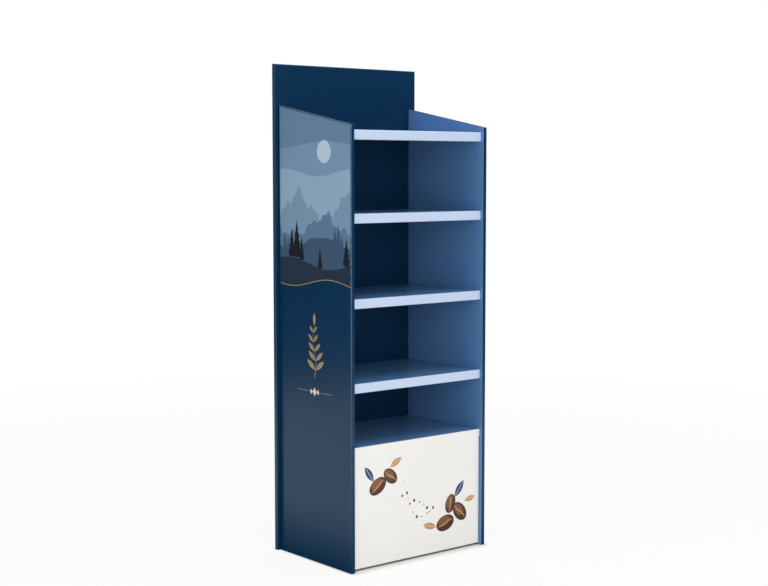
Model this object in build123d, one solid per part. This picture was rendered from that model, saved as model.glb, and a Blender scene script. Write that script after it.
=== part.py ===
from build123d import *

import os
from dataclasses import dataclass

# A cardboard floor display stand, in millimetres. Two hollow side panels and a hollow back panel,
# which rises above them as a header, carry shelves folded as trays. Tongues cut from the trays'
# flanges lock into slots in the panels. A kick panel closes the base in front, and half-lapped ribs
# carry the bottom shelf. +Z is up, the front faces -Y, and the origin is on the floor under the
# middle of the stand.

# Board
board = 3.0  # thickness of the corrugated board
fold_radius = 0.8  # inside radius of a creased fold
fit_gap = 0.3  # clearance between sheets that slide past each other
corner_relief = 2.0  # cut-out beside the end of a fold or a tongue

# Stand
stand_width = 600.0  # over the back panel
stand_depth = 400.0  # from the side panels' front edges to the rear of the back panel
back_thickness = 17.0
back_overhang = 14.0  # back panel beyond each side panel
header_rise = 133.0  # header above the rear corner of the side panels
side_thickness = 15.0
side_lip = 15.0  # side panels' front corner above the top shelf
side_rise = 71.0  # climb of the side panels' top edge from front to rear

# Shelves: the level of the bottom one's upper face, and the rise from each shelf to the next
bottom_shelf_level = 396.0
lower_shelf_rise = 202.0
middle_shelf_rise = 266.0
upper_shelf_rise = 266.0
top_shelf_rise = 259.0
front_recess = 13.0  # shelves and kick panel behind the side panels' front edges
fascia_height = 31.0
roll_depth = 30.0  # rolled front edge of a shelf, front to rear
flange_height = 22.0

# Kick panel
kick_lift = 6.0  # lower edge above the floor
kick_flange = 40.0

# Tongues and slots
tongue_length = 60.0
tongue_chamfer = 5.0  # cut corners of a tongue's tip
tongue_inset = 70.0  # middle of a tongue from the end of its edge
tip_gap = 1.0  # tip of a tongue clear of what lies inside a hollow panel
back_tongue_count = 4  # tongues along the rear edge of each side panel

# Top flaps and seam of the hollow panels
tuck_depth = 22.0  # part of a top flap tucked down inside
flap_root = 8.0  # length of wall that a top flap is folded from
glue_flap = 20.0  # lap of the back panel's seam

# Base ribs
rib_spacing = 300.0

# Worked out from the above
fold_outer = board + fold_radius
body_width = stand_width - 2 * back_overhang
bay_width = body_width - 2 * side_thickness
shelf_width = bay_width - 2 * fit_gap
front = -stand_depth / 2
rear = stand_depth / 2
back_front = rear - back_thickness
side_outer = -body_width / 2
side_inner = side_outer + side_thickness
shelf_front = front + front_recess
shelf_depth = back_front - fit_gap - shelf_front
lower_shelf_level = bottom_shelf_level + lower_shelf_rise
middle_shelf_level = lower_shelf_level + middle_shelf_rise
upper_shelf_level = middle_shelf_level + upper_shelf_rise
top_shelf_level = upper_shelf_level + top_shelf_rise
side_front_height = top_shelf_level + side_lip
side_rear_height = side_front_height + side_rise
stand_height = side_rear_height + header_rise
kick_height = bottom_shelf_level - kick_lift
side_reach = side_thickness - 2 * board - tip_gap
back_reach = back_thickness - 2 * board - tip_gap
rib_height = bottom_shelf_level - board


def block(x, y, z):
    """A box between two values each of x, y and z."""
    centre = Pos((x[0] + x[1]) / 2, (y[0] + y[1]) / 2, (z[0] + z[1]) / 2)
    return centre * Box(x[1] - x[0], y[1] - y[0], z[1] - z[0])


def sheet(*points):
    """Section of a folded sheet: its outer face follows the points, with the board on their left."""
    outer = [Vector(*point) for point in points]
    steps = [(end - start).normalized() for start, end in zip(outer, outer[1:])]
    normals = [Vector(-step.Y, step.X) for step in steps]
    before = [normals[0]] + normals
    after = normals + [normals[-1]]
    inner = [p + (a + b) * (board / (1 + a.dot(b))) for p, a, b in zip(outer, before, after)]
    outline = FilletPolyline(*outer, radius=fold_outer).edges()
    outline += FilletPolyline(*inner, radius=fold_radius).edges()
    outline += [Line(outer[0], inner[0]), Line(outer[-1], inner[-1])]
    return make_face(outline)


def tongue_outline(reach):
    """Face of a tongue in the plane z = 0 that reaches along +X past the sheet's edge at x = 0."""
    half = tongue_length / 2
    edge = [(-fold_outer, half), (reach - tongue_chamfer, half), (reach, half - tongue_chamfer)]
    mirrored = [(x, -y) for x, y in reversed(edge)]
    return make_face(Polyline(*edge, *mirrored, close=True))


def tongue(reach):
    """A tongue under the plane z = 0."""
    return extrude(tongue_outline(reach), -board)


def tongue_window(reach):
    """The opening left in a folded flange by the tongue that was cut out of it."""
    half = tongue_length / 2 + corner_relief
    return block((-fold_outer, fit_gap), (-half, half), (-reach - corner_relief, fit_gap))


def hook(reach):
    """A tongue like that, folded outwards from the end of a flange that stands on it inside x = 0."""
    bend = sheet((-board, fold_outer), (-board, -board), (reach, -board))
    folded = extrude(Plane.XZ * bend, tongue_length / 2, both=True)
    return folded & extrude(tongue_outline(reach), fold_outer, both=True)


def hook_room(reach):
    """The room for a hook, cut out of the flange's square end."""
    half = tongue_length / 2 + corner_relief
    return block((-board, reach), (-half, half), (-board, fold_radius))


def slot():
    """Cut through one wall for a tongue, which rests on its lower edge."""
    half = tongue_length / 2 + fit_gap
    return block((0, board + 2 * fit_gap), (-half, half), (-board, fit_gap))


@dataclass
class Tray:
    """A sheet folded into a tray as wide as a bay.

    The floor's outer face lies at z = 0, from the front fold at y = 0 to the rear at y = depth.
    The side flanges run from flange_start to flange_end. The path front_path leads the sheet on past the
    front fold. Tongues stay in the floor's plane where they are cut out of the flanges. A hooked tray
    keeps its side folds whole, and its side tongues are folded outwards from the ends of the flanges.
    """

    depth: float
    front_path: list
    side_flange: float
    flange_start: float
    flange_end: float
    rear_flange: float = 0.0
    hooked: bool = False

    def side_tongues(self, side):
        """Places of the tongues on the left (-1) or right (+1) edge."""
        turn = Rot(0, 0, 0 if side > 0 else 180)
        level = board - self.side_flange if self.hooked else 0
        middles = (self.flange_start + tongue_inset, self.flange_end - tongue_inset)
        return [Pos(side * shelf_width / 2, y, level) * turn for y in middles]

    def rear_tongues(self):
        """Places of the tongues on the rear edge."""
        if not self.rear_flange:
            return []
        inset = shelf_width / 2 - tongue_inset
        return [Pos(x, self.depth, 0) * Rot(0, 0, 90) for x in (-inset, inset)]

    def solid(self):
        """The folded sheet."""
        half = shelf_width / 2
        rear_path = [(self.depth, -self.rear_flange)] if self.rear_flange else []
        lengthwise = sheet(*rear_path, (self.depth, 0), (0, 0), *self.front_path)
        tray = extrude(Plane.YZ * lengthwise, half, both=True)

        run = (self.flange_start - corner_relief, self.flange_end + corner_relief)
        tray -= block((half - fold_outer, half), run, (-board, 0))
        tray -= block((-half, fold_outer - half), run, (-board, 0))
        lower = -self.side_flange
        crosswise = sheet((half, lower), (half, 0), (-half, 0), (-half, lower))
        flanges = extrude(Plane.XZ * crosswise, self.flange_start - self.flange_end)
        tray += Pos(0, self.flange_start, 0) * flanges

        room, lock = (hook_room, hook) if self.hooked else (tongue_window, tongue)
        for place in self.side_tongues(-1) + self.side_tongues(1):
            tray = tray - place * room(side_reach) + place * lock(side_reach)
        for place in self.rear_tongues():
            tray = tray - place * tongue_window(back_reach) + place * tongue(back_reach)
        return tray


def shelf_tray():
    """A shelf with a fascia, rolled back and up under its floor to stiffen the front edge."""
    roll = [(0, -fascia_height), (roll_depth, -fascia_height), (roll_depth, -board - fit_gap)]
    return Tray(
        depth=shelf_depth,
        front_path=roll,
        side_flange=flange_height,
        flange_start=roll_depth + 2 * corner_relief,
        flange_end=shelf_depth - fold_outer - 2 * corner_relief,
        rear_flange=flange_height,
    )


def bottom_tray():
    """The bottom shelf, whose front flange hangs behind the kick panel."""
    depth = shelf_depth - board - fit_gap
    return Tray(
        depth=depth,
        front_path=[(0, -flange_height)],
        side_flange=flange_height,
        flange_start=fold_outer + 2 * corner_relief,
        flange_end=depth - fold_outer - 2 * corner_relief,
        rear_flange=flange_height,
    )


def kick_tray():
    """The kick panel, whose side flanges stop below the bottom shelf and hook into the side panels."""
    return Tray(
        depth=kick_height,
        front_path=[(0, -kick_flange)],
        side_flange=kick_flange,
        flange_start=fold_outer + 2 * corner_relief,
        flange_end=kick_height - flange_height - 2 * corner_relief,
        hooked=True,
    )


def placed_trays():
    """Each tray's name with the tray and its place in the stand."""
    shelf = shelf_tray()
    shelf_levels = {
        "top_shelf": top_shelf_level,
        "upper_shelf": upper_shelf_level,
        "middle_shelf": middle_shelf_level,
        "lower_shelf": lower_shelf_level,
    }
    trays = {name: (shelf, Pos(0, shelf_front, level)) for name, level in shelf_levels.items()}
    behind_kick = shelf_front + board + fit_gap
    trays["bottom_shelf"] = (bottom_tray(), Pos(0, behind_kick, bottom_shelf_level))
    upright = Plane((0, shelf_front, kick_lift), x_dir=(1, 0, 0), z_dir=(0, -1, 0))
    trays["kick_panel"] = (kick_tray(), upright.location)
    return trays


def close_top(panel, top, thickness, room):
    """Fold a flap from the panel's first wall over its open top and tuck it inside the second wall.

    In the plane top, x runs across the panel from the first wall's face and y points out of the top.
    The flap fills the room between the panel's end strips.
    """
    span = thickness - board - fit_gap
    corner = Pos(fold_outer / 2, -fold_outer / 2) * Rectangle(fold_outer, fold_outer)
    flap = sheet((span, -tuck_depth), (span, 0), (0, 0), (0, -flap_root))
    reach = stand_width + stand_depth
    panel -= extrude(top * corner, reach, both=True) & room
    return panel + (extrude(top * flap, reach, both=True) & room)


def back_tongues():
    """Places of the tongues on the rear edge of the left side panel's inner wall."""
    step = (side_front_height - 2 * tongue_inset) / (back_tongue_count - 1)
    levels = [tongue_inset + step * i for i in range(back_tongue_count)]
    ends = [(side_inner, back_front, level) for level in levels]
    return [Plane(end, x_dir=(0, 1, 0), z_dir=(1, 0, 0)).location for end in ends]


def side_panel(trays):
    """The left side panel, one sheet: rear strip, outer wall, front strip and inner wall."""
    plan = sheet(
        (side_inner - board - fit_gap, back_front),
        (side_outer, back_front),
        (side_outer, front),
        (side_inner, front),
        (side_inner, back_front),
    )
    corners = (front, 0), (back_front, 0), (back_front, side_rear_height), (front, side_front_height)
    outline = make_face(Polyline(*corners, close=True))
    panel = extrude(plan, side_rear_height) & extrude(Plane.YZ * outline, body_width, both=True)

    corner = (side_outer, front, side_front_height)
    slope = Plane(corner, x_dir=(1, 0, 0), z_dir=(0, front - back_front, -side_rise))
    inside = board + fit_gap
    room = block((side_outer, side_inner), (front + inside, back_front - inside), (0, side_rear_height))
    panel = close_top(panel, slope, side_thickness, room)

    for tray, place in trays.values():
        for edge in tray.side_tongues(-1):
            panel -= place * edge * slot()
    for place in back_tongues():
        panel += place * tongue(back_reach)
    return panel


def back_panel(trays):
    """The back panel and header, a flat sleeve of one sheet with its seam lapped inside the rear wall."""
    half = stand_width / 2
    lap = rear - board - fit_gap
    plan = sheet(
        (half, rear),
        (-half, rear),
        (-half, back_front),
        (half, back_front),
        (half, lap),
        (half - glue_flap, lap),
    )
    panel = extrude(plan, stand_height)
    inside = half - board - fit_gap
    flap_bottom = stand_height - tuck_depth - fit_gap
    panel -= block((half - glue_flap, inside), (lap - fold_outer, lap), (flap_bottom, stand_height))
    top = Plane((0, back_front, stand_height), x_dir=(0, 1, 0), z_dir=(1, 0, 0))
    room = block((-inside, inside), (back_front, rear), (0, stand_height))
    panel = close_top(panel, top, back_thickness, room)

    for tray, place in trays.values():
        for edge in tray.rear_tongues():
            panel -= place * edge * slot()
    for place in back_tongues():
        cut = place * slot()
        panel = panel - cut - mirror(cut, about=Plane.YZ)
    return panel


def base_ribs():
    """Ribs on edge under the bottom shelf: one along the width, half-lapped with two front to rear."""
    rib_end = shelf_width / 2 - fold_outer - fit_gap
    rib_front = shelf_front + kick_flange + fit_gap
    rib_rear = back_front - fold_outer - 2 * fit_gap
    middle = rib_height / 2
    thick = (-board / 2, board / 2)
    lap = (-board / 2 - fit_gap, board / 2 + fit_gap)
    long_rib = block((-rib_end, rib_end), thick, (0, rib_height))
    cross_rib = block(thick, (rib_front, rib_rear), (0, rib_height))
    cross_rib -= block(thick, lap, (0, middle))
    ribs = {}
    for name, x in (("base_left_rib", -rib_spacing / 2), ("base_right_rib", rib_spacing / 2)):
        long_rib -= Pos(x, 0, 0) * block(lap, thick, (middle - fit_gap, rib_height))
        ribs[name] = Pos(x, 0, 0) * cross_rib
    ribs["base_long_rib"] = long_rib
    return ribs


def stand():
    """Every sheet of the stand by its name."""
    trays = placed_trays()
    left_side_panel = side_panel(trays)
    sheets = {
        "left_side_panel": left_side_panel,
        "right_side_panel": mirror(left_side_panel, about=Plane.YZ),
        "back_panel": back_panel(trays),
    }
    for name, (tray, place) in trays.items():
        sheets[name] = place * tray.solid()
    return sheets | base_ribs()


os.makedirs("parts", exist_ok=True)
for node, solid in stand().items():
    export_step(solid, f"parts/{node}.step")
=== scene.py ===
"""Inks, print and a studio for a folded cardboard display stand, laid out as a Blender add-on.

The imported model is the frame. Its sheets stay as they are and get inks that are chosen by place and facing.
The print lies on them as fields of colour, each a surface worked out from a formula. Lengths are in metres,
+Z is up and the open front faces -Y.
"""

import math
from dataclasses import dataclass

import bpy
import numpy as np
from mathutils import Euler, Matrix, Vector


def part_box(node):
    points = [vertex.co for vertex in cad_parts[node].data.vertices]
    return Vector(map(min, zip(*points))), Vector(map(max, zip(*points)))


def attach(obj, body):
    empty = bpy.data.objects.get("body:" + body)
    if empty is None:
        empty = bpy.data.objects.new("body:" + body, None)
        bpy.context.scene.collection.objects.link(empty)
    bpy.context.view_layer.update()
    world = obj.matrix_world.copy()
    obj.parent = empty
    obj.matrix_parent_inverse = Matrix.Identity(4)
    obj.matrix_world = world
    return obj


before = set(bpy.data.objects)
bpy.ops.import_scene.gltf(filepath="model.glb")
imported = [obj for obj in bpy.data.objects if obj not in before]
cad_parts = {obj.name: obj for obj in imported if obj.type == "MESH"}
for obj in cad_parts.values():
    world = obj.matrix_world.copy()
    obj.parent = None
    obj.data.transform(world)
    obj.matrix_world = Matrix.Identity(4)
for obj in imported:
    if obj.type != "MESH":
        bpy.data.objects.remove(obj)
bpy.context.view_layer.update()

bl_info = {
    "name": "Cardboard Display Stand",
    "version": (1, 0, 0),
    "blender": (4, 5, 0),
    "location": "3D Viewport > Sidebar > Stand",
    "description": "Inks, prints and lights a folded cardboard display stand",
    "category": "Object",
}

SIDE_PANELS = ("left_side_panel", "right_side_panel")
SHELVES = ("top_shelf", "upper_shelf", "middle_shelf", "lower_shelf", "bottom_shelf")
BASE_RIBS = ("base_long_rib", "base_left_rib", "base_right_rib")

# Faces of the board, read from the frame
side_low, side_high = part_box("left_side_panel")
back_low, back_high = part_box("back_panel")
kick_low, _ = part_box("kick_panel")
shelf_low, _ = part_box("top_shelf")
OUTER_FACE = -side_low.x
INNER_FACE = -side_high.x
PANEL_FRONT = side_low.y
BACK_FACE = back_low.y
REAR_FACE = back_high.y
BACK_END = back_high.x
HEADER_TOP = back_high.z
FASCIA_FACE = shelf_low.y
KICK_FACE = kick_low.y
SKIN = 0.0003  # tolerance about a face, well under the board's thickness

# Share of a direction in a face's normal from which the face counts as turned that way
GRAZING = 0.08
FACING = 0.25
MAINLY = 0.5
ENDWAYS = 0.7
SQUARE = 0.8
LEVEL = 0.9

# Waves to the metre of the soft noises
BROAD_MOTTLE = 9
FINE_MOTTLE = 70
RUB_AND_HIGHLIGHT_PATCHES = 90
FIBRE_CLUMPS = 60
FIBRES = 600

MEAN_NOISE = 0.5  # what a soft noise comes to on average
RUB_AND_HIGHLIGHT_CONTRAST = 1.6  # how strongly that noise makes the rubbed wear and painted highlight of a fold uneven

# Points along the sides of the grids and along the paths
DISC_POINTS = 13
DIAMOND_POINTS = 3
RIDGE_POINTS = 161
STEM_POINTS = 41
VEIN_POINTS = 9
GROOVE_POINTS = 25
CURTAIN_POINTS = 64
TIER_STEPS = 8  # steps up each tier of a fir

# Ripple on the peaks of the hills: share of their swell and waves to a peak
COARSE_RIPPLE, COARSE_WAVES = 0.12, 7.3
FINE_RIPPLE, FINE_WAVES = 0.07, 17.1

WHITE = (1, 1, 1)
CURTAIN_DARK = (0.01, 0.01, 0.012)

CAMERA_PLACE = (-3.0100, -3.6780, 1.2681)
CAMERA_DIP = 0.0862  # below level, in radians
CAMERA_TURN = 0.6873  # from +Y to the right, in radians
SENSOR_WIDTH = 36  # in millimetres

# Sloping top edge of the side panels
side_corners = np.array([vertex.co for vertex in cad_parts["left_side_panel"].data.vertices])
FRONT_TOP = side_corners[side_corners[:, 1] < PANEL_FRONT + SKIN, 2].max()
TOP_SLOPE = (side_high.z - FRONT_TOP) / (BACK_FACE - PANEL_FRONT)


def side_top(y):
    """Height of the side panels' sloping top edge at y."""
    return (y - PANEL_FRONT) * TOP_SLOPE + FRONT_TOP


# Sizes and colours


def screen(red, green, blue):
    """The linear colour that shows as these 8-bit screen values, by the sRGB curve."""
    value = np.array([red, green, blue]) / 255
    return tuple(np.where(value <= 0.04045, value / 12.92, ((value + 0.055) / 1.055) ** 2.4).tolist())


def ink(name, description, red, green, blue):
    """A colour property given as 8-bit screen values."""
    return bpy.props.FloatVectorProperty(
        name=name, description=description, default=screen(red, green, blue), subtype="COLOR", min=0, max=1
    )


def length(name, description, metres):
    """A length property."""
    return bpy.props.FloatProperty(
        name=name, description=description, default=metres, unit="LENGTH", subtype="DISTANCE", precision=4
    )


def share(name, description, value):
    """A property between 0 and 1."""
    return bpy.props.FloatProperty(
        name=name, description=description, default=value, subtype="FACTOR", min=0, max=1
    )


def power(name, description, watts):
    """A property for the power of a lamp."""
    return bpy.props.FloatProperty(name=name, description=description, default=watts, unit="POWER")


class StandInks(bpy.types.PropertyGroup):
    """Colours of the board and the print."""

    navy: ink("Navy", "Outside of the panels", 8, 52, 84)
    # Painted light: the back panel's ends are inked lighter than the navy, as if lit from the side
    lit_end_blue: ink("Edge Blue", "Ends of the back panel, where the ink is stretched", 36, 70, 98)
    # Painted highlight together with real wear: the front folds are lightened as rubbed print and as the
    # sheen of the rounded fold
    fold_wear_and_highlight: ink("Fold Wear", "Navy thinned where a fold is rubbed", 80, 112, 138)
    bay_blue: ink("Bay Blue", "Inside of the bays and the shelf floors", 92, 138, 190)
    fascia_blue: ink("Fascia Blue", "Rolled front edges of the shelves", 201, 217, 243)
    white: ink("White", "Kick panel", 243, 242, 240)
    kraft: ink("Kraft", "Unprinted reverse of the board", 180, 163, 142)
    cut_edge: ink("Cut Edge", "Core in a cut edge of the board", 112, 114, 120)
    # Painted shade, in the hollows between the flutes of a cut edge and in the groove under the side panels'
    # top flap
    cut_shade: ink("Cut Shade", "Hollows between the flutes in a cut edge", 70, 74, 82)
    sky_high: ink("High Sky", "Top of the landscape", 104, 135, 163)
    sky_middle: ink("Middle Sky", "Second field of the landscape", 122, 151, 179)
    sky_low: ink("Low Sky", "Field behind the hills", 146, 173, 199)
    sun: ink("Sun", "Disc in the sky", 186, 205, 224)
    far_hills: ink("Far Hills", "Palest line of hills", 124, 152, 180)
    middle_hills: ink("Middle Hills", "Second line of hills", 96, 124, 153)
    near_hills: ink("Near Hills", "Third line of hills and the firs on it", 66, 90, 117)
    dark_hills: ink("Dark Hills", "Nearest line of hills", 42, 56, 74)
    trees: ink("Trees", "Firs on the nearest line of hills", 34, 38, 44)
    gold: ink("Gold", "Thin lines and sprig", 172, 148, 106)
    cream: ink("Cream", "Small diamonds", 222, 210, 186)
    cocoa: ink("Cocoa", "Beans and crumbs", 84, 52, 44)
    cocoa_light: ink("Light Cocoa", "Lit part of a bean", 132, 88, 66)
    tan: ink("Tan", "Leaves, crumbs and grooves of the beans", 202, 152, 98)
    leaf_blue: ink("Leaf Blue", "Second colour of the leaves", 48, 76, 118)


class StandSizes(bpy.types.PropertyGroup):
    """Sizes of the board and the print."""

    fold: length("Fold", "Outer radius of a fold", 0.0038)
    board: length("Board", "Thickness of the board", 0.003)
    roll: length("Roll", "Depth of a shelf's rolled front edge", 0.03)
    flute_pitch: length("Flute Pitch", "From one flute of the board to the next", 0.0065)
    flute_depth: length("Flute Depth", "Height of the flutes where they show through the face", 0.00004)
    ink_lift: length("Ink Lift", "Height of a printed field over the one below it", 0.0001)
    landscape_foot: length("Landscape Foot", "Mean level of the landscape's lower edge", 0.905)
    landscape_margin: length("Landscape Margin", "From the landscape to the side panel's rear edge", 0.007)
    gold_line: length("Gold Line", "Width of the line along the landscape's foot", 0.0022)
    sun_radius: length("Sun Radius", "Radius of the disc in the sky", 0.036)
    sprig_height: length("Sprig Height", "Length of the sprig's stem", 0.17)
    sprig_level: length("Sprig Level", "Foot of the sprig's stem", 0.60)
    bean_length: length("Bean Length", "Length of a printed bean", 0.074)
    # The front folds' lightening is partly rubbed wear and partly a painted highlight, and it fades towards
    # the foot as painted shade near the floor
    fold_rub_and_highlight: share("Rub", "How far the front folds are rubbed on average", 0.75)
    fold_highlight_height: length("Rub Height", "Height from which the front folds are rubbed in full", 0.9)
    mottle: share("Mottle", "How far the ink's lightness drifts over the board", 0.04)
    satin: share("Satin", "Roughness of the printed board", 0.22)
    satin_drift: share("Satin Drift", "How far that roughness drifts over the board", 0.06)
    shine: share("Shine", "Specular level of the printed board", 0.36)


class StandStage(bpy.types.PropertyGroup):
    """Floor, light and camera."""

    floor: ink("Floor", "Studio floor", 238, 237, 233)
    floor_radius: length("Floor Radius", "Radius of the floor", 4.5)
    fade_start: share("Fade Start", "Share of that radius where the floor starts to fade out", 0.35)
    fade_end: share("Fade End", "Share of that radius where the floor has faded out", 0.98)
    curtain_radius: length("Curtain Radius", "Place of a dark curtain that shows in the satin only", 3.8)
    curtain_height: length("Curtain Height", "Top of that curtain", 5.0)
    floor_glow: share("Floor Glow", "How far the open floor is lightened to white for the eye", 0.88)
    front_contact: length("Front Contact", "Width of the shadow that is left before the foot", 0.03)
    side_contact: length("Side Contact", "Width of the shadow that is left beside the foot", 0.012)
    front_shade: length("Front Shade", "How far before the foot the floor shows dark in the satin", 0.9)
    side_shade: length("Side Shade", "How far beside the foot the floor shows dark in the satin", 0.46)
    ambient: share("Ambient", "Light from all round", 0.58)
    key_power: power("Key Power", "Large lamp on the left", 38)
    fill_power: power("Fill Power", "Large lamp in front", 12)
    top_power: power("Top Power", "Large lamp overhead", 100)
    focal_length: bpy.props.FloatProperty(
        name="Focal Length", description="Lens of the camera", default=67.33, unit="CAMERA"
    )


# Nodes of a material


class Term:
    """A value in a material's nodes. It joins with numbers and other terms by the usual signs.

    A test gives 1 or 0. The sign & takes the smaller of two values, and | takes the larger one.
    """

    def __init__(self, tree, socket):
        self.tree = tree
        self.socket = socket

    def joined(self, operation, *others):
        """The result of a Math node on this value and others."""
        node = self.tree.nodes.new("ShaderNodeMath")
        node.operation = operation
        self.tree.links.new(self.socket, node.inputs[0])
        for place, other in zip(node.inputs[1:], others):
            if isinstance(other, Term):
                self.tree.links.new(other.socket, place)
            else:
                place.default_value = other
        return Term(self.tree, node.outputs[0])

    def clamped(self):
        """This value kept between 0 and 1."""
        return self.joined("MAXIMUM", 0).joined("MINIMUM", 1)

    def __add__(self, other):
        return self.joined("ADD", other)

    def __sub__(self, other):
        return self.joined("SUBTRACT", other)

    def __mul__(self, other):
        return self.joined("MULTIPLY", other)

    def __gt__(self, other):
        return self.joined("GREATER_THAN", other)

    def __lt__(self, other):
        return self.joined("LESS_THAN", other)

    def __and__(self, other):
        return self.joined("MINIMUM", other)

    def __or__(self, other):
        return self.joined("MAXIMUM", other)

    def __abs__(self):
        return self.joined("ABSOLUTE")


def parts_of(tree, vector):
    """The x, y and z of a vector as terms."""
    split = tree.nodes.new("ShaderNodeSeparateXYZ")
    tree.links.new(vector, split.inputs[0])
    return [Term(tree, socket) for socket in split.outputs]


def rays(tree, *kinds):
    """Terms that are 1 for rays of these kinds."""
    light_path = tree.nodes.new("ShaderNodeLightPath")
    return [Term(tree, light_path.outputs[f"Is {kind} Ray"]) for kind in kinds]


def colour_mix(tree, share_of_second, first, second):
    """A Mix node on two colours: its input for the first one, and its output."""
    mix = tree.nodes.new("ShaderNodeMix")
    mix.data_type = "RGBA"
    factor, under, over, result = mix.inputs[0], mix.inputs[6], mix.inputs[7], mix.outputs[2]
    tree.links.new(share_of_second.socket, factor)
    under.default_value = (*first, 1)
    over.default_value = (*second, 1)
    return under, result


def shader_mix(tree, share_of_second, first, second):
    """The output of a Mix Shader node on two shader outputs."""
    mix = tree.nodes.new("ShaderNodeMixShader")
    tree.links.new(share_of_second.socket, mix.inputs[0])
    tree.links.new(first, mix.inputs[1])
    tree.links.new(second, mix.inputs[2])
    return mix.outputs[0]


def plain_material(name, colour, roughness, specular):
    """A new material of one colour, and its shader."""
    material = bpy.data.materials.new(name)
    material.use_nodes = True
    shader = material.node_tree.nodes["Principled BSDF"]
    shader.inputs["Base Color"].default_value = (*colour, 1)
    shader.inputs["Roughness"].default_value = roughness
    shader.inputs["Specular IOR Level"].default_value = specular
    return material, shader


class BoardMaterial:
    """A satin board whose colour is picked from its inks by place and facing."""

    def __init__(self, name, sizes, base):
        self.material, self.shader = plain_material(name, base, sizes.satin, sizes.shine)
        self.material.diffuse_color = (*base, 1)
        self.tree = self.material.node_tree
        self.coordinates = self.tree.nodes.new("ShaderNodeTexCoord").outputs["Object"]
        self.base = base
        self.colour = None

    def place(self):
        """Where a point of the board lies."""
        return parts_of(self.tree, self.coordinates)

    def facing(self):
        """The way that a face of the board is turned."""
        return parts_of(self.tree, self.tree.nodes.new("ShaderNodeNewGeometry").outputs["True Normal"])

    def noise(self, scale):
        """Soft noise with this many waves to the metre."""
        node = self.tree.nodes.new("ShaderNodeTexNoise")
        node.inputs["Scale"].default_value = scale
        self.tree.links.new(self.coordinates, node.inputs["Vector"])
        return Term(self.tree, node.outputs["Fac"])

    def flutes(self, sizes, across):
        """A sine with one wave to a flute, along the direction that crosses the flutes."""
        along = self.tree.nodes.new("ShaderNodeVectorMath")
        along.operation = "DOT_PRODUCT"
        self.tree.links.new(self.coordinates, along.inputs[0])
        along.inputs[1].default_value = across
        distance = Term(self.tree, along.outputs["Value"])
        return (distance * (2 * math.pi / sizes.flute_pitch)).joined("SINE")

    def print_over(self, where, colour):
        """Lay an ink over what is there, where the term is 1."""
        under, result = colour_mix(self.tree, where, self.base, colour)
        if self.colour:
            self.tree.links.new(self.colour, under)
        self.colour = result
        self.tree.links.new(self.colour, self.shader.inputs["Base Color"])

    def mottle(self, sizes):
        """Let the ink and its gloss drift: soft noise about zero on the colour's value and the roughness."""
        drift = self.noise(BROAD_MOTTLE) + self.noise(FINE_MOTTLE) - 2 * MEAN_NOISE
        tint = self.tree.nodes.new("ShaderNodeHueSaturation")
        self.tree.links.new((drift * sizes.mottle + 1).socket, tint.inputs["Value"])
        tint.inputs["Color"].default_value = (*self.base, 1)
        if self.colour:
            self.tree.links.new(self.colour, tint.inputs["Color"])
        self.tree.links.new(tint.outputs[0], self.shader.inputs["Base Color"])
        roughness = drift * sizes.satin_drift + sizes.satin
        self.tree.links.new(roughness.socket, self.shader.inputs["Roughness"])

    def show_flutes(self, sizes, across):
        """Let the flutes show as a bump: a sine across them, with the fibre of the paper over it."""
        fibre = self.noise(FIBRES) + self.noise(FIBRE_CLUMPS)
        height = (self.flutes(sizes, across) + fibre) * (sizes.flute_depth / 2)
        bump = self.tree.nodes.new("ShaderNodeBump")
        bump.inputs["Distance"].default_value = 1
        self.tree.links.new(height.socket, bump.inputs["Height"])
        self.tree.links.new(bump.outputs["Normal"], self.shader.inputs["Normal"])


def cut_edges(board, sizes, inks):
    """Draw the flutes in level cut edges: a sine along the edge darkens every other half wave, as painted
    shade in the hollows between the flutes.
    """
    _, _, nz = board.facing()
    level = abs(nz) > LEVEL
    wave = board.flutes(sizes, across=(1, 1, 0))
    board.print_over(level, inks.cut_edge)
    board.print_over((wave > 0) & level, inks.cut_shade)


def dress(nodes, board, sizes):
    """Let the ink of a board drift, and give its material to CAD nodes."""
    board.mottle(sizes)
    for name in nodes:
        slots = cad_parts[name].material_slots
        if not slots:
            raise RuntimeError(f"{name} has no material slot")
        for slot in slots:
            slot.material = board.material


# Objects


def add_object(name, data):
    """A new object in the scene, at the origin."""
    added = bpy.data.objects.new(name, data)
    bpy.context.scene.collection.objects.link(added)
    return added


def add_mesh(name, points, faces):
    """A new object with a mesh of these points and faces."""
    mesh = bpy.data.meshes.new(name)
    mesh.from_pydata(points, [], faces.tolist())
    return add_object(name, mesh)


# Surfaces of the print, worked out on flat paper: across to the right and up


@dataclass
class Field:
    """One printed field: its points, shape (rows, columns, 2), its ink and the layer that it lies in."""

    points: np.ndarray
    ink: str
    layer: int = 1


def square_grid(points):
    """Two parameters from -1 to 1 on a square grid: the first down the rows, the second along the columns."""
    return np.meshgrid(np.linspace(-1, 1, points), np.linspace(-1, 1, points), indexing="ij")


def band(across, lower, upper):
    """Between two curves over the same run: (1 - v) times the lower one plus v times the upper one."""
    return np.stack([np.stack([across, lower], 1), np.stack([across, upper], 1)])


def round_field(centre, half_length, half_width, turn=0.0, pointed=False):
    """A square grid pressed into a disc, u root(1 - v2/2) by v root(1 - u2/2), then stretched and turned.

    A pointed one has its width times root(1 - p2) at the share p of its half length, which makes a leaf.
    """
    u, v = square_grid(DISC_POINTS)
    p = u * np.sqrt(1 - v**2 / 2)
    q = v * np.sqrt(1 - u**2 / 2)
    if pointed:
        q = q * np.sqrt(np.clip(1 - p**2, 0, 1))
    p, q = p * half_length, q * half_width
    c, s = math.cos(turn), math.sin(turn)
    return np.stack([centre[0] + p * c - q * s, centre[1] + p * s + q * c], 2)


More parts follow.
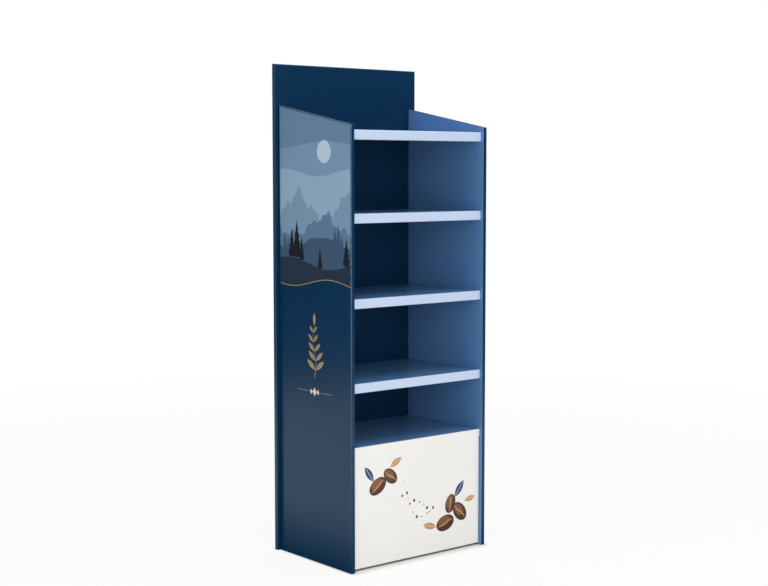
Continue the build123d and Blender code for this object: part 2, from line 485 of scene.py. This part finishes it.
def diamond(centre, half_width, half_height):
    """A square grid turned by an eighth: half the width times (u - v)/2, half the height times (u + v)/2."""
    u, v = square_grid(DIAMOND_POINTS)
    return np.stack([centre[0] + half_width * (u - v) / 2, centre[1] + half_height * (u + v) / 2], 2)


def ribbon(path, width):
    """A flat profile carried along a path: the path plus or minus half the width along its left normal."""
    step = np.gradient(path, axis=0)
    step /= np.linalg.norm(step, axis=1, keepdims=True)
    left = np.stack([-step[:, 1], step[:, 0]], 1) * np.reshape(width, (-1, 1)) / 2
    return np.stack([path - left, path + left])


def fir(foot, height, tiers):
    """A fir tree: half its width is a straight taper, cut back towards the top of each tier.

    Its foot is a trunk of even width.
    """
    spread, blunt_tip, cut_back = 0.25, 0.02, 0.45
    trunk_top, trunk_half = 0.08, 0.012
    v = np.linspace(0, 1, TIER_STEPS * tiers + 1)
    half = spread * height * (1 + blunt_tip - v) * (1 - cut_back * ((v * tiers) % 1))
    half[v < trunk_top] = trunk_half * height
    up = foot[1] + v * height
    return np.stack([np.stack([foot[0] + half, up], 1), np.stack([foot[0] - half, up], 1)])


@dataclass
class Leaf:
    """A kind of leaf: half its width and half its vein as shares of its length, and the look of the vein."""

    half_width: float
    half_vein: float
    vein_width: float
    vein_ink: str

    def fields(self, centre, reach, turn, ink_name, layer):
        """A pointed field of this length, with a straight vein along its middle."""
        aim = np.array([math.cos(turn), math.sin(turn)])
        along = np.linspace(-self.half_vein, self.half_vein, VEIN_POINTS) * reach
        vein = ribbon(centre + np.outer(along, aim), self.vein_width)
        blade = round_field(centre, reach / 2, self.half_width * reach, turn, pointed=True)
        return [Field(blade, ink_name, layer), Field(vein, self.vein_ink, layer + 1)]


def facing_reader(points):
    """The grid with its rows and columns in the order that turns its faces to the reader."""
    row, column = points.shape[0] // 2, points.shape[1] // 2
    down = points[row, column] - points[row - 1, column]
    right = points[row, column] - points[row, column - 1]
    turned_away = right[0] * down[1] - right[1] * down[0] < 0
    return points[::-1] if turned_away else points


def grid_faces(rows, columns):
    """The corners of every face of a grid whose points are numbered along its rows."""
    index = np.arange(rows * columns).reshape(rows, columns)
    corners = index[:-1, :-1], index[:-1, 1:], index[1:, 1:], index[1:, :-1]
    return np.stack(corners, 2).reshape(-1, 4)


def lay_print(name, fields, inks, sizes, surface, across):
    """Put printed fields on a face as one piece, with a material for each ink.

    The surface is the face's origin and its right, up and outward directions. A field's point (a, b) goes to
    origin + a times right + b times up, lifted outward by one ink lift for each layer.
    """
    origin, right, up, outward = (np.array(part, float) for part in surface)
    names = sorted({field.ink for field in fields})
    places, quads, slots = [], [], []
    count = 0
    for field in fields:
        flat = facing_reader(field.points)
        a, b = flat.reshape(-1, 2).T[:, :, None]
        places.append(origin + a * right + b * up + field.layer * sizes.ink_lift * outward)
        faces = grid_faces(*flat.shape[:2])
        quads.append(count + faces)
        slots.append(np.full(len(faces), names.index(field.ink)))
        count += len(a)
    piece = add_mesh(name, np.concatenate(places), np.concatenate(quads))
    for each in names:
        board = BoardMaterial(f"{name}_{each}", sizes, getattr(inks, each))
        board.show_flutes(sizes, across)
        piece.data.materials.append(board.material)
    piece.data.polygons.foreach_set("material_index", np.concatenate(slots).astype(np.int32))
    piece.data.validate()
    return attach(piece, "root")


@dataclass
class Ridge:
    """Upper edge of a field of the landscape: a level with a swell and a ripple of given waves and phase."""

    ink: str
    level: float
    swell: float
    wave: float
    phase: float
    pointed: float = 0.0

    def height(self, across):
        """Level plus swell times a mix of a raised sine and of rippled peaks, one less the size of a sine."""
        turn = math.pi * across / self.wave + self.phase
        rounded = 0.5 + 0.5 * np.sin(2 * turn)
        peaks = 1 - np.abs(np.sin(turn))
        coarse = COARSE_RIPPLE * np.sin(COARSE_WAVES * turn + self.phase)
        fine = FINE_RIPPLE * np.sin(FINE_WAVES * turn)
        rippled = peaks + coarse + fine
        return self.level + self.swell * ((1 - self.pointed) * rounded + self.pointed * rippled)


def landscape(sizes):
    """A misty landscape that fills the side under its sloping top, with a gold line along its wavy foot."""
    run = np.linspace(sizes.landscape_margin - BACK_FACE, -PANEL_FRONT - sizes.fold, RIDGE_POINTS)
    top = side_top(-run) - sizes.fold

    foot = sizes.landscape_foot
    near_hills = Ridge("near_hills", level=1.010, swell=0.050, wave=0.36, phase=0.2, pointed=0.25)
    dark_hills = Ridge("dark_hills", level=foot + 0.045, swell=0.036, wave=0.42, phase=1.7, pointed=0.1)
    # Under the last edge, the landscape's foot, the navy of the panel itself shows
    ridges = [
        Ridge("sky_middle", level=1.335, swell=0.020, wave=0.46, phase=0.4),
        Ridge("sky_low", level=1.245, swell=0.024, wave=0.38, phase=2.1),
        Ridge("far_hills", level=1.120, swell=0.085, wave=0.27, phase=0.9, pointed=1.0),
        Ridge("middle_hills", level=1.060, swell=0.075, wave=0.33, phase=2.55, pointed=1.0),
        near_hills,
        dark_hills,
        Ridge("navy", level=foot - 0.014, swell=0.028, wave=0.40, phase=0.1),
    ]
    fields = []
    ink_name, upper = "sky_high", top
    for ridge in ridges:
        lower = np.minimum(ridge.height(run), upper)
        fields.append(Field(band(run, lower, upper), ink_name))
        ink_name, upper = ridge.ink, lower
    line = np.stack([run, upper], 1)
    fields.append(Field(ribbon(line, sizes.gold_line), "gold", 3))

    sun = (0.062, 1.322)
    fields.append(Field(round_field(sun, sizes.sun_radius, sizes.sun_radius), "sun", 2))

    # Place across and height of each fir
    far_firs = ((-0.150, 0.060), (-0.132, 0.044), (0.118, 0.050), (0.136, 0.066), (0.154, 0.042))
    near_firs = ((-0.112, 0.100), (-0.084, 0.128), (-0.058, 0.082), (0.040, 0.070), (0.176, 0.094))
    rooted = 0.006  # depth of a fir's foot below its ridge
    woods = (near_hills, "near_hills", far_firs, 2), (dark_hills, "trees", near_firs, 4)
    for ridge, ink_name, firs, layer in woods:
        for step, (across, height) in enumerate(firs):
            foot_point = across, ridge.height(across) - rooted
            fields.append(Field(fir(foot_point, height, tiers=5), ink_name, layer + step % 2))
    return fields


def sprig(sizes):
    """A sprig of paired leaves on a swaying stem, over a thin rule with three diamonds."""
    middle = -(BACK_FACE + PANEL_FRONT) / 2
    sway, root_width, tip_width = 0.007, 0.0024, 0.0010
    u = np.linspace(0, 1, STEM_POINTS)
    across = middle + sway * np.sin(2 * math.pi * u)
    stem = np.stack([across, sizes.sprig_level + sizes.sprig_height * u], 1)
    fields = [Field(ribbon(stem, root_width + (tip_width - root_width) * u), "gold", 1)]

    # The pairs get shorter and steeper up the stem, and are placed by its points
    kind = Leaf(half_width=0.16, half_vein=0.35, vein_width=0.0009, vein_ink="navy")
    pairs, first_point, point_step = 5, 6, 7
    stalk = 0.002
    lowest_reach, shortening = 0.052, 0.006
    lowest_lean, steepening = 0.95, 0.06
    for pair in range(pairs):
        at = stem[first_point + point_step * pair]
        reach = lowest_reach - shortening * pair
        for side in (-1, 1):
            turn = math.pi / 2 - side * (lowest_lean - steepening * pair)
            aim = np.array([math.cos(turn), math.sin(turn)])
            fields += kind.fields(at + aim * (reach / 2 + stalk), reach, turn, "gold", 2)
    half_tip, half_tip_width = 0.020, 0.0065
    tip = stem[-1] + (0.0, half_tip)
    fields.append(Field(round_field(tip, half_tip, half_tip_width, math.pi / 2, pointed=True), "gold", 2))

    rule_start, rule_end = 0.032, 0.090
    rule_width, rule_drop = 0.0014, 0.045
    rule_level = sizes.sprig_level - rule_drop
    for side in (-1, 1):
        rule = np.array([[middle + side * end, rule_level] for end in (rule_start, rule_end)])
        fields.append(Field(ribbon(rule, rule_width), "gold", 1))
    spacing, slimness = 0.018, 0.8
    for step, half_height in ((-1, 0.009), (0, 0.014), (1, 0.009)):
        centre = (middle + spacing * step, rule_level)
        fields.append(Field(diamond(centre, slimness * half_height, half_height), "cream", 1))
    return fields


def bean(centre, half_length, turn, layer):
    """A bean: a stretched disc, a smaller lit disc set off towards the upper left, and a swaying groove.

    The groove sways by a sine of its run u. Its width goes as root(1 - p2), with p as u over its end.
    """
    slimness = 0.66
    lit_length, lit_width = 0.66, 0.6
    lit_offset = np.array([-0.13, 0.18])
    groove_reach, groove_end = 0.86, 0.9
    groove_sway, groove_width = 0.13, 0.0042
    half_width = slimness * half_length
    lit = centre + lit_offset * half_length
    u = np.linspace(-groove_reach, groove_reach, GROOVE_POINTS)
    aim = np.array([math.cos(turn), math.sin(turn)])
    left = np.array([-math.sin(turn), math.cos(turn)])
    sway = groove_sway * half_width * np.sin(math.pi * u)
    groove = centre + np.outer(u * half_length, aim) + np.outer(sway, left)
    lit_part = round_field(lit, lit_length * half_length, lit_width * half_width, turn)
    return [
        Field(round_field(centre, half_length, half_width, turn), "cocoa", layer),
        Field(lit_part, "cocoa_light", layer + 1),
        Field(ribbon(groove, groove_width * np.sqrt(1 - (u / groove_end) ** 2)), "tan", layer + 2),
    ]


def scattered_beans(sizes):
    """Beans and leaves in two corners of the kick panel, with crumbs along the arc between them."""
    fields = []
    kind = Leaf(half_width=0.19, half_vein=0.42, vein_width=0.0011, vein_ink="white")
    # Place across and up, length, turn and ink of each leaf
    leaves = (
        (-0.205, 0.305, 0.062, 2.2, "leaf_blue"),
        (-0.095, 0.330, 0.056, 0.5, "tan"),
        (0.050, 0.098, 0.060, 2.9, "tan"),
        (0.180, 0.205, 0.066, 0.9, "leaf_blue"),
        (0.228, 0.165, 0.050, 0.2, "tan"),
    )
    for x, z, reach, turn, ink_name in leaves:
        fields += kind.fields(np.array([x, z]), reach, turn, ink_name, 1)

    # Place across and up, share of the bean length, turn and lowest layer of each bean
    beans = (
        (-0.170, 0.262, 1.00, 0.55, 3),
        (-0.118, 0.288, 0.86, -0.70, 6),
        (0.118, 0.098, 1.06, 0.25, 3),
        (0.182, 0.128, 1.00, -0.85, 6),
        (0.140, 0.160, 0.86, 1.25, 9),
    )
    for x, z, size, turn, layer in beans:
        fields += bean(np.array([x, z]), sizes.bean_length / 2 * size, turn, layer)

    # The crumbs stray from the arc, and differ in size, by sines of their number
    crumbs = 15
    start, end = np.array([-0.075, 0.250]), np.array([0.065, 0.150])
    sag = 0.035
    stray, stray_turn, stray_start = np.array([0.0105, 0.021]), 9.1, 1.0
    least_size, size_range, size_turn = 0.0024, 0.0030, 5.3
    slimness = 0.8
    for step in range(crumbs):
        t = (step + 0.5) / crumbs
        drop = np.array([0, sag * math.sin(math.pi * t)])
        centre = start + (end - start) * t - drop + stray * math.sin(stray_turn * step + stray_start)
        size = least_size + size_range * math.sin(size_turn * step) ** 2
        ink_name = "cocoa" if step % 3 else "tan"
        fields.append(Field(round_field(centre, size, slimness * size, turn=step), ink_name, 1))
    return fields


# Operators


class STAND_OT_side_panels(bpy.types.Operator):
    """Ink both side panels and print the landscape and the sprig on the left one"""

    bl_idname = "display_stand.side_panels"
    bl_label = "Side Panels"

    def execute(self, context):
        inks, sizes = context.scene.stand_inks, context.scene.stand_sizes
        board = BoardMaterial("side_board", sizes, inks.kraft)
        x, y, z = board.place()
        nx, ny, nz = board.facing()
        # Painted shade: unprinted board near the sloping top, in the groove under the flap and at the cut
        # corners, is darkened with the cut shade
        board.print_over(z > side_top(y) - sizes.fold, inks.cut_shade)
        cut_edges(board, sizes, inks)
        far, outward = abs(x), nx * x.joined("SIGN")
        tucked = sizes.board + SKIN
        outer = (outward > FACING) & (far > OUTER_FACE - sizes.fold)
        front = (ny < -FACING) & (y < PANEL_FRONT + sizes.fold)
        inner = (outward < -SQUARE) & (far < INNER_FACE + sizes.fold / 2)
        flap = (y > PANEL_FRONT + tucked) & (y < BACK_FACE - tucked) & (far > INNER_FACE + tucked)
        board.print_over(outer | front | (flap & (nz > MAINLY)), inks.navy)
        # Painted highlight with real wear on the outer front fold: rubbed print and the sheen of the rounded
        # fold, made uneven by noise and fading towards the foot as painted shade near the floor
        fold = (outward > GRAZING) & (ny < -GRAZING)
        rubbed_and_lit = (board.noise(RUB_AND_HIGHLIGHT_PATCHES) - MEAN_NOISE) * RUB_AND_HIGHLIGHT_CONTRAST + sizes.fold_rub_and_highlight
        lit_above_foot = (z * (1 / sizes.fold_highlight_height)).clamped()
        board.print_over(rubbed_and_lit * lit_above_foot & fold & outer, inks.fold_wear_and_highlight)
        board.print_over(inner, inks.bay_blue)
        board.show_flutes(sizes, across=(0, 1, 0))
        dress(SIDE_PANELS, board, sizes)

        face = (side_low.x, 0, 0), (0, -1, 0), (0, 0, 1), (-1, 0, 0)
        for name, fields in (("left_side_landscape", landscape(sizes)), ("left_side_sprig", sprig(sizes))):
            piece = lay_print(name, fields, inks, sizes, face, across=(0, 1, 0))
        return {"FINISHED"}


class STAND_OT_back_panel(bpy.types.Operator):
    """Ink the back panel and its header"""

    bl_idname = "display_stand.back_panel"
    bl_label = "Back Panel"

    def execute(self, context):
        inks, sizes = context.scene.stand_inks, context.scene.stand_sizes
        board = BoardMaterial("back_board", sizes, inks.kraft)
        cut_edges(board, sizes, inks)
        x, y, z = board.place()
        nx, ny, nz = board.facing()
        tucked = sizes.board + SKIN
        front = (ny < -FACING) & (y < BACK_FACE + sizes.fold)
        rear = (ny > FACING) & (y > REAR_FACE - sizes.fold / 2)
        ends = (abs(nx) > ENDWAYS) & (abs(x) > BACK_END - sizes.fold)
        flap = (abs(x) < BACK_END - tucked) & (y < REAR_FACE - tucked) & (z > HEADER_TOP - sizes.fold)
        board.print_over(front | rear | (flap & (nz > MAINLY)), inks.navy)
        # Painted light: the ends are inked lighter than the navy, as if lit from the side
        board.print_over(ends, inks.lit_end_blue)
        board.show_flutes(sizes, across=(1, 0, 0))
        dress(["back_panel"], board, sizes)
        return {"FINISHED"}


class STAND_OT_shelves(bpy.types.Operator):
    """Ink the shelves: blue floors and pale rolled front edges"""

    bl_idname = "display_stand.shelves"
    bl_label = "Shelves"

    def execute(self, context):
        inks, sizes = context.scene.stand_inks, context.scene.stand_sizes
        board = BoardMaterial("shelf_board", sizes, inks.kraft)
        _, y, _ = board.place()
        _, ny, nz = board.facing()
        roll_rear = FASCIA_FACE + sizes.roll + SKIN
        board.print_over(nz > MAINLY, inks.bay_blue)
        board.print_over((y < roll_rear) & ((ny < -MAINLY) | (nz < -MAINLY)), inks.fascia_blue)
        board.show_flutes(sizes, across=(0, 1, 1))
        dress(SHELVES, board, sizes)
        return {"FINISHED"}


class STAND_OT_kick_panel(bpy.types.Operator):
    """Ink the kick panel and print beans and leaves on it"""

    bl_idname = "display_stand.kick_panel"
    bl_label = "Kick Panel"

    def execute(self, context):
        inks, sizes = context.scene.stand_inks, context.scene.stand_sizes
        board = BoardMaterial("kick_board", sizes, inks.kraft)
        cut_edges(board, sizes, inks)
        _, y, _ = board.place()
        _, ny, nz = board.facing()
        before_fold = y < KICK_FACE + sizes.fold
        board.print_over(((ny < -FACING) | (nz < -FACING)) & before_fold, inks.white)
        board.show_flutes(sizes, across=(1, 0, 0))
        dress(["kick_panel"], board, sizes)

        front = (0, KICK_FACE, 0), (1, 0, 0), (0, 0, 1), (0, -1, 0)
        piece = lay_print("kick_beans", scattered_beans(sizes), inks, sizes, front, across=(1, 0, 0))
        return {"FINISHED"}


class STAND_OT_base_ribs(bpy.types.Operator):
    """Leave the ribs in the base unprinted"""

    bl_idname = "display_stand.base_ribs"
    bl_label = "Base Ribs"

    def execute(self, context):
        inks, sizes = context.scene.stand_inks, context.scene.stand_sizes
        board = BoardMaterial("plain_board", sizes, inks.kraft)
        cut_edges(board, sizes, inks)
        board.show_flutes(sizes, across=(1, 1, 0))
        dress(BASE_RIBS, board, sizes)
        return {"FINISHED"}


class STAND_OT_stage(bpy.types.Operator):
    """Set the floor, the light and the camera"""

    bl_idname = "display_stand.stage"
    bl_label = "Stage"

    def execute(self, context):
        scene, stage = context.scene, context.scene.stand_stage
        scene.view_settings.view_transform = "Standard"
        self.studio(scene, stage)
        self.floor(stage)
        self.curtain(stage)
        self.lamp("top", place=(0, -0.4, 4.5), turn=(0, 0, 0), size=4.0, watts=stage.top_power)
        self.lamp("key", place=(-2.6, -2.9, 1.3), turn=(86, 0, -42), size=2.4, watts=stage.key_power)
        self.lamp("fill", place=(0.7, -4.2, 1.3), turn=(83, 0, 9.5), size=2.0, watts=stage.fill_power)
        self.camera(scene, stage)
        return {"FINISHED"}

    def studio(self, scene, stage):
        """A world that is white to the eye and in reflections, and gives even light to the rest."""
        scene.world = bpy.data.worlds.new("studio")
        scene.world.use_nodes = True
        tree = scene.world.node_tree
        background = tree.nodes["Background"]
        background.inputs["Strength"].default_value = 1
        seen, mirrored, let_through = rays(tree, "Camera", "Glossy", "Transmission")
        grey = (stage.ambient, stage.ambient, stage.ambient)
        _, light = colour_mix(tree, seen | mirrored | let_through, grey, WHITE)
        tree.links.new(light, background.inputs["Color"])

    def floor(self, stage):
        """A square grid pressed into a disc on the floor, which fades out towards its rim.

        To the eye it is lightened up to a thin shadow round the foot. In the satin it shows a painted shadow,
        dark near the foot.
        """
        flat = facing_reader(round_field((0, 0), stage.floor_radius, stage.floor_radius))
        points = np.pad(flat.reshape(-1, 2), ((0, 0), (0, 1)))
        floor = add_mesh("floor", points, grid_faces(*flat.shape[:2]))

        material, shader = plain_material("floor", stage.floor, roughness=0.9, specular=0.1)
        tree = material.node_tree
        x, y, _ = parts_of(tree, tree.nodes.new("ShaderNodeTexCoord").outputs["Object"])
        radius = (x * x + y * y).joined("SQRT") * (1 / stage.floor_radius)
        faded = (radius - stage.fade_start) * (1 / (stage.fade_end - stage.fade_start))
        beside, before = abs(x) - OUTER_FACE, abs(y) - REAR_FACE
        off_contact = (beside * (1 / stage.side_contact)) | (before * (1 / stage.front_contact))
        off_shade = (beside * (1 / stage.side_shade)) | (before * (1 / stage.front_shade))
        seen, mirrored = rays(tree, "Camera", "Glossy")
        lightened = seen * off_contact.clamped() * stage.floor_glow
        # Painted shadow: to glossy rays the floor fades to black near the foot
        darkened = mirrored * (off_shade * -1 + 1).clamped()

        white = tree.nodes.new("ShaderNodeEmission")
        black = tree.nodes.new("ShaderNodeEmission")
        black.inputs["Strength"].default_value = 0
        clear = tree.nodes.new("ShaderNodeBsdfTransparent")
        surface = shader_mix(tree, lightened, shader.outputs[0], white.outputs[0])
        surface = shader_mix(tree, darkened, surface, black.outputs[0])
        surface = shader_mix(tree, faded.clamped(), surface, clear.outputs[0])
        tree.links.new(surface, tree.nodes["Material Output"].inputs["Surface"])
        floor.data.materials.append(material)

    def curtain(self, stage):
        """A dark curtain, radius times (cos u, sin u) by the height v, that shows in the satin alone."""
        turns = np.linspace(0, 2 * math.pi, CURTAIN_POINTS, endpoint=False)
        turn, rise = np.meshgrid(turns, (0, stage.curtain_height))
        radius = stage.curtain_radius
        points = np.stack([radius * np.cos(turn), radius * np.sin(turn), rise], 2).reshape(-1, 3)
        low, high = np.arange(2 * CURTAIN_POINTS).reshape(2, CURTAIN_POINTS)
        curtain = add_mesh("curtain", points, np.stack([low, high, np.roll(high, -1), np.roll(low, -1)], 1))
        for ray in ("camera", "diffuse", "transmission", "volume_scatter", "shadow"):
            setattr(curtain, f"visible_{ray}", False)
        material, _ = plain_material("curtain", CURTAIN_DARK, roughness=1, specular=0)
        curtain.data.materials.append(material)

    def lamp(self, name, place, turn, size, watts):
        """A large square lamp, turned by angles in degrees."""
        light = bpy.data.lights.new(name, "AREA")
        light.energy = watts
        light.size = size
        lamp = add_object(name, light)
        lamp.location = place
        lamp.rotation_euler = Euler([math.radians(angle) for angle in turn])
        lamp.visible_camera = False

    def camera(self, scene, stage):
        """The camera, under five metres away in front on the left, above every shelf but the top one."""
        data = bpy.data.cameras.new("camera")
        data.lens = stage.focal_length
        data.sensor_width = SENSOR_WIDTH
        camera = add_object("camera", data)
        camera.location = CAMERA_PLACE
        camera.rotation_euler = (math.pi / 2 - CAMERA_DIP, 0, -CAMERA_TURN)
        scene.camera = camera


OPERATORS = (
    STAND_OT_side_panels,
    STAND_OT_back_panel,
    STAND_OT_shelves,
    STAND_OT_kick_panel,
    STAND_OT_base_ribs,
    STAND_OT_stage,
)


class STAND_PT_sidebar(bpy.types.Panel):
    """Steps that dress and light the stand"""

    bl_label = "Display Stand"
    bl_idname = "STAND_PT_sidebar"
    bl_space_type = "VIEW_3D"
    bl_region_type = "UI"
    bl_category = "Stand"

    def draw(self, context):
        for operator in OPERATORS:
            self.layout.operator(operator.bl_idname)


GROUPS = {"stand_inks": StandInks, "stand_sizes": StandSizes, "stand_stage": StandStage}
CLASSES = (*GROUPS.values(), *OPERATORS, STAND_PT_sidebar)


def register():
    """Add the classes, and their settings to the scene."""
    for each in CLASSES:
        bpy.utils.register_class(each)
    for name, group in GROUPS.items():
        setattr(bpy.types.Scene, name, bpy.props.PointerProperty(type=group))


def unregister():
    """Take the settings and the classes away again."""
    for name in GROUPS:
        delattr(bpy.types.Scene, name)
    for each in reversed(CLASSES):
        bpy.utils.unregister_class(each)


def main():
    """Run every step."""
    register()
    bpy.ops.display_stand.side_panels()
    bpy.ops.display_stand.back_panel()
    bpy.ops.display_stand.shelves()
    bpy.ops.display_stand.kick_panel()
    bpy.ops.display_stand.base_ribs()
    bpy.ops.display_stand.stage()


if __name__ == "__main__":
    main()
